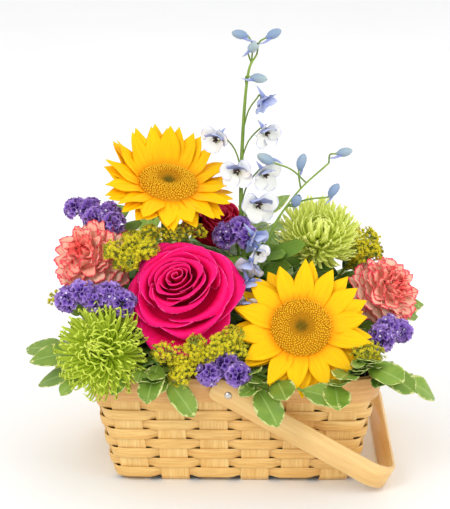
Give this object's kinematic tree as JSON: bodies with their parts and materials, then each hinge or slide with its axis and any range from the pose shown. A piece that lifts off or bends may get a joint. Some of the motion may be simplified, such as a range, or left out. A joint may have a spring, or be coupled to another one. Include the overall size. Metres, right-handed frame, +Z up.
{
  "type": "flower basket arrangement",
  "caption": "Woven splint basket with a swing handle, filled with sunflowers, roses, carnations, chrysanthemums, delphinium, statice, solidago and variegated leaves in wet foam.",
  "frame": {"origin": "middle of the basket's base, on the surface it stands on", "axes": "+Z up, -Y towards the viewer, so +X is the side that the handle lies over"},
  "size_m": [0.3171, 0.2684, 0.3468],
  "materials": {
    "basket_splint": "satin clear-finished splint",
    "rim_band": "satin clear-finished band",
    "handle_strap": "satin clear-finished bent strap",
    "rivet_metal": "bright plated",
    "liner_plastic": "matt moulded",
    "wet_foam": "matt, fine open cells",
    "yellow_petal": "matt petal",
    "seed_disc": "rough florets",
    "green_stem": "fresh stem, slight sheen",
    "pink_petal": "velvety petal",
    "red_petal": "velvety petal",
    "coral_petal": "matt ruffled petal",
    "lime_petal": "satin petal",
    "blue_floret": "matt petal and bud",
    "violet_floret": "papery floret",
    "gold_floret": "fluffy floret",
    "variegated_leaf": "glossy leaf with a pale edge"
  },
  "bodies": {
    "basket": {"carnation_left_green": "green_stem", "carnation_left_petals": "coral_petal", "carnation_right_green": "green_stem", "carnation_right_petals": "coral_petal", "chrysanthemum_left": "lime_petal", "chrysanthemum_right": "lime_petal", "delphinium_leaning": "blue_floret", "delphinium_tall": "blue_floret", "foam": "wet_foam", "liner": "liner_plastic", "pittosporum_1": "variegated_leaf", "pittosporum_2": "variegated_leaf", "pittosporum_3": "variegated_leaf", "pittosporum_4": "variegated_leaf", "pittosporum_5": "variegated_leaf", "pittosporum_6": "variegated_leaf", "pittosporum_7": "variegated_leaf", "pittosporum_8": "variegated_leaf", "rim_inner": "rim_band", "rim_outer": "rim_band", "rivet_back": "rivet_metal", "rivet_front": "rivet_metal", "rose_pink_green": "green_stem", "rose_pink_petals": "pink_petal", "rose_red_green": "green_stem", "rose_red_petals": "red_petal", "solidago_front": "gold_floret", "solidago_left": "gold_floret", "solidago_right": "gold_floret", "stake_front_back_1": "basket_splint", "stake_front_back_2": "basket_splint", "stake_front_back_3": "basket_splint", "stake_front_back_4": "basket_splint", "stake_front_back_5": "basket_splint", "stake_front_back_6": "basket_splint", "stake_side_side_1": "basket_splint", "stake_side_side_2": "basket_splint", "stake_side_side_3": "basket_splint", "stake_side_side_4": "basket_splint", "stake_side_side_5": "basket_splint", "statice_front": "violet_floret", "statice_left_high": "violet_floret", "statice_left_low": "violet_floret", "statice_middle": "violet_floret", "statice_right": "violet_floret", "sunflower_back_disc": "seed_disc", "sunflower_back_green": "green_stem", "sunflower_back_petals": "yellow_petal", "sunflower_front_disc": "seed_disc", "sunflower_front_green": "green_stem", "sunflower_front_petals": "yellow_petal", "weaver_1": "basket_splint", "weaver_2": "basket_splint", "weaver_3": "basket_splint", "weaver_4": "basket_splint", "weaver_5": "basket_splint", "weaver_6": "basket_splint", "weaver_7": "basket_splint", "weaver_8": "basket_splint"},
    "handle": {"handle": "handle_strap"}
  },
  "joints": [
    {"name": "handle_swing", "type": "hinge", "parent": "basket", "child": "handle", "pos_m": [-0.005, 0, 0.079], "axis": [0, -1, 0], "range_deg": [0, 22]}
  ]
}
